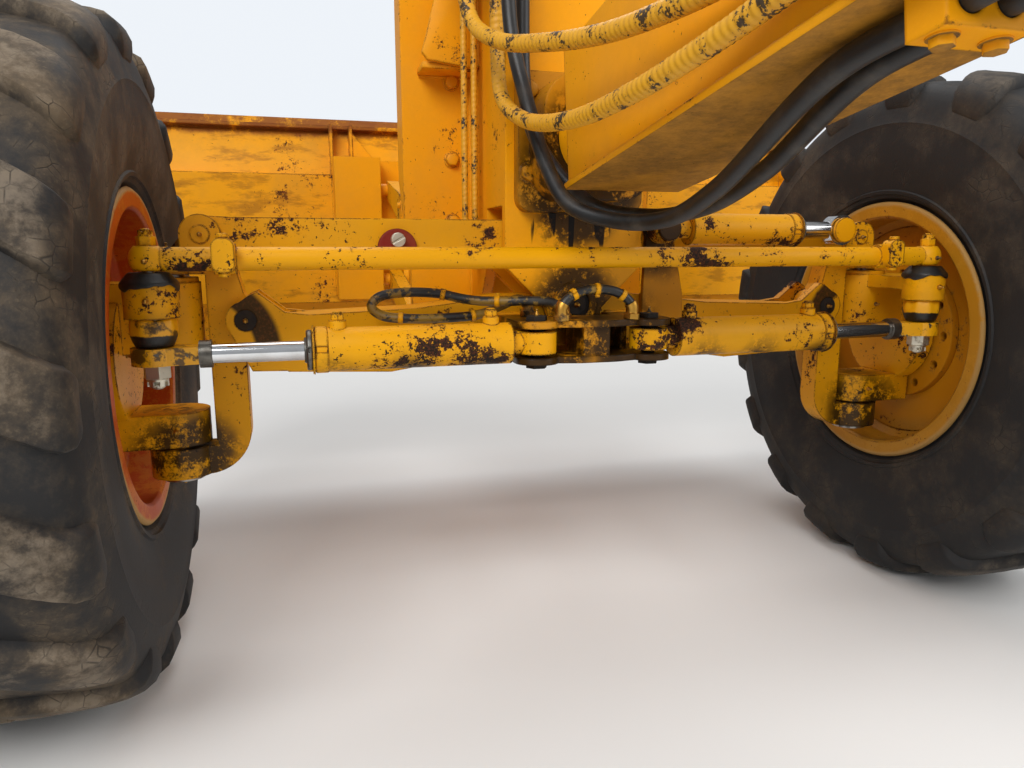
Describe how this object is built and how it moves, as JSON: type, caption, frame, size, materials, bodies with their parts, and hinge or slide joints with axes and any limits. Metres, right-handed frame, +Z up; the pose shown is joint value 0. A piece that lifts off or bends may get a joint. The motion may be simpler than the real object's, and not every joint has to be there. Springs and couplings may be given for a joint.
{
  "type": "motor grader front end",
  "caption": "Front end of a motor grader: frame nose with drawbar tongue, leaning and steered front axle with both wheels, and a lifting push blade.",
  "frame": {"origin": "centre of the frame nose's upper end face, where the gooseneck frame goes on", "axes": "+X to the machine's right, +Y forwards, +Z up out of the end face"},
  "size_m": [2.75, 2.4803, 1.62],
  "materials": {
    "frame_paint": "yellow paint with chips, dust and rust specks",
    "greasy_paint": "yellow paint under old grease",
    "tongue_paint": "sunlit yellow paint, dirty underneath",
    "axle_paint": "chipped amber-yellow paint with rust",
    "cylinder_paint": "chipped yellow paint",
    "blade_paint": "scuffed yellow paint with a rusty top edge",
    "rim_paint": "dusty orange-yellow paint",
    "maroon_paint": "dark red paint",
    "worn_steel": "worn machined steel",
    "rod_chrome": "polished hydraulic rod",
    "edge_steel": "dark worn wear steel",
    "tyre_rubber": "dusty worn rubber",
    "boot_rubber": "torn black rubber",
    "black_hose": "black hose with yellow overspray",
    "hose_wrap": "yellow spiral hose wrap"
  },
  "bodies": {
    "root": {"nose_frame": "frame_paint", "front_plate": "frame_paint", "ball_collar": "greasy_paint", "drawbar_tongue": "tongue_paint", "axle_beam": "axle_paint", "pivot_pins": "worn_steel", "steer_anchor": "greasy_paint", "lean_bracket": "greasy_paint", "hose_clamps": "frame_paint", "wrapped_hoses": "hose_wrap", "black_hoses": "black_hose", "axle_hoses": "black_hose", "mast_hoses": "hose_wrap"},
    "yoke_l": {"yoke_l": "axle_paint", "kingpin_l": "worn_steel"},
    "yoke_r": {"yoke_r": "axle_paint", "kingpin_r": "worn_steel"},
    "knuckle_l": {"knuckle_l": "axle_paint", "boots_l": "boot_rubber"},
    "knuckle_r": {"knuckle_r": "axle_paint", "boots_r": "boot_rubber"},
    "wheel_l": {"hub_l": "rim_paint", "rim_l": "rim_paint", "tyre_l": "tyre_rubber"},
    "wheel_r": {"hub_r": "rim_paint", "rim_r": "rim_paint", "tyre_r": "tyre_rubber"},
    "lean_bar": {"lean_bar": "axle_paint", "lock_plate": "maroon_paint"},
    "lean_barrel": {"lean_barrel": "cylinder_paint"},
    "lean_rod": {"lean_rod": "rod_chrome"},
    "tie_ball": {"tie_ball": "worn_steel"},
    "tie_rod": {"tie_rod": "cylinder_paint"},
    "steer_barrel_l": {"steer_barrel_l": "cylinder_paint"},
    "steer_barrel_r": {"steer_barrel_r": "cylinder_paint"},
    "steer_rod_l": {"steer_rod_l": "rod_chrome"},
    "steer_rod_r": {"steer_rod_r": "rod_chrome"},
    "lift_arms": {"lift_arms": "axle_paint"},
    "lift_links": {"lift_links": "axle_paint"},
    "lift_barrel": {"lift_barrel": "cylinder_paint"},
    "lift_rod": {"lift_rod": "rod_chrome"},
    "blade": {"blade_plate": "blade_paint", "blade_edge": "edge_steel", "blade_carrier": "frame_paint"}
  },
  "joints": [
    {"name": "wheel_lean", "type": "hinge", "parent": "root", "child": "yoke_l", "pos_m": [-0.72, -0.073, -0.862], "axis": [0, 1, 0], "range_deg": [-18, 18]},
    {"name": "lean_right", "type": "hinge", "parent": "root", "child": "yoke_r", "pos_m": [0.72, -0.073, -0.862], "axis": [0, 1, 0], "range_deg": [-18, 18]},
    {"name": "lean_bar_pin", "type": "hinge", "parent": "yoke_l", "child": "lean_bar", "pos_m": [-0.795, -0.12, -0.685], "axis": [0, 1, 0], "range_deg": [-18, 18]},
    {"name": "lean_cylinder_tilt", "type": "hinge", "parent": "root", "child": "lean_barrel", "pos_m": [0.215, -0.179, -0.669], "axis": [0, 1, 0], "range_deg": [-4, 4]},
    {"name": "lean_rod_slide", "type": "slide", "parent": "lean_barrel", "child": "lean_rod", "axis": [1, 0, 0], "range_m": [-0.075, 0.075]},
    {"name": "steer", "type": "hinge", "parent": "yoke_l", "child": "knuckle_l", "pos_m": [-0.87, -0.073, -0.94], "axis": [0, 0, 1], "range_deg": [-42, 42], "deforming": ["boots_l"]},
    {"name": "steer_right", "type": "hinge", "parent": "yoke_r", "child": "knuckle_r", "pos_m": [0.87, -0.073, -0.94], "axis": [0, 0, 1], "range_deg": [-42, 42], "deforming": ["boots_r"]},
    {"name": "tie_ball_turn", "type": "hinge", "parent": "knuckle_l", "child": "tie_ball", "pos_m": [-0.87, -0.288, -0.732], "axis": [0, 0, 1], "range_deg": [-42, 42]},
    {"name": "tie_rod_tilt", "type": "hinge", "parent": "tie_ball", "child": "tie_rod", "pos_m": [-0.87, -0.288, -0.732], "axis": [0, 1, 0], "range_deg": [-18, 18]},
    {"name": "steer_barrel_l_tilt", "type": "hinge", "parent": "root", "child": "steer_barrel_l", "pos_m": [-0.13, -0.288, -0.908], "axis": [0, 1, 0], "range_deg": [-6, 6]},
    {"name": "steer_rod_l_slide", "type": "slide", "parent": "steer_barrel_l", "child": "steer_rod_l", "axis": [-1, 0, 0], "range_m": [-0.16, 0.16]},
    {"name": "steer_barrel_r_tilt", "type": "hinge", "parent": "root", "child": "steer_barrel_r", "pos_m": [0.13, -0.288, -0.908], "axis": [0, 1, 0], "range_deg": [-6, 6]},
    {"name": "steer_rod_r_slide", "type": "slide", "parent": "steer_barrel_r", "child": "steer_rod_r", "axis": [1, 0, 0], "range_m": [-0.16, 0.16]},
    {"name": "wheel_l_spin", "type": "hinge", "parent": "knuckle_l", "child": "wheel_l", "pos_m": [-1.12, -0.073, -0.94], "axis": [1, 0, 0], "continuous": true},
    {"name": "wheel_r_spin", "type": "hinge", "parent": "knuckle_r", "child": "wheel_r", "pos_m": [1.12, -0.073, -0.94], "axis": [1, 0, 0], "continuous": true},
    {"name": "blade_lift", "type": "hinge", "parent": "root", "child": "lift_arms", "pos_m": [0, 0.267, -0.96], "axis": [1, 0, 0], "range_deg": [-54.5, 5]},
    {"name": "link_follow", "type": "hinge", "parent": "root", "child": "lift_links", "pos_m": [0, 0.267, -0.66], "axis": [1, 0, 0], "range_deg": [-54.5, 5]},
    {"name": "blade_level", "type": "hinge", "parent": "lift_arms", "child": "blade", "pos_m": [0, 0.82977, -0.81968], "axis": [1, 0, 0], "range_deg": [-5, 54.5]},
    {"name": "lift_barrel_swing", "type": "hinge", "parent": "root", "child": "lift_barrel", "pos_m": [0, 0.299, -0.18], "axis": [1, 0, 0], "range_deg": [-8, 8]},
    {"name": "lift_rod_slide", "type": "slide", "parent": "lift_barrel", "child": "lift_rod", "axis": [0, 0.407, -0.9134], "range_m": [-0.04, 0.33]}
  ],
  "couplings": [
    {"joint": "lean_right", "follows": "wheel_lean", "ratio": 1},
    {"joint": "lean_bar_pin", "follows": "wheel_lean", "ratio": -0.9068},
    {"joint": "lean_cylinder_tilt", "follows": "wheel_lean", "ratio": 0.1298},
    {"joint": "lean_rod_slide", "follows": "wheel_lean", "m_per_rad": 0.17659},
    {"joint": "steer_right", "follows": "steer", "ratio": 1},
    {"joint": "tie_ball_turn", "follows": "steer", "ratio": -1},
    {"joint": "tie_rod_tilt", "follows": "wheel_lean", "ratio": -0.82913},
    {"joint": "steer_barrel_l_tilt", "follows": "wheel_lean", "ratio": 0.201},
    {"joint": "steer_barrel_r_tilt", "follows": "wheel_lean", "ratio": 0.201},
    {"joint": "steer_rod_l_slide", "follows": "steer", "m_per_rad": -0.19569},
    {"joint": "steer_rod_r_slide", "follows": "steer", "m_per_rad": 0.19569},
    {"joint": "link_follow", "follows": "blade_lift", "ratio": 1},
    {"joint": "blade_level", "follows": "blade_lift", "ratio": -1},
    {"joint": "lift_barrel_swing", "follows": "blade_lift", "ratio": 0.0775},
    {"joint": "lift_rod_slide", "follows": "blade_lift", "m_per_rad": -0.33039}
  ]
}
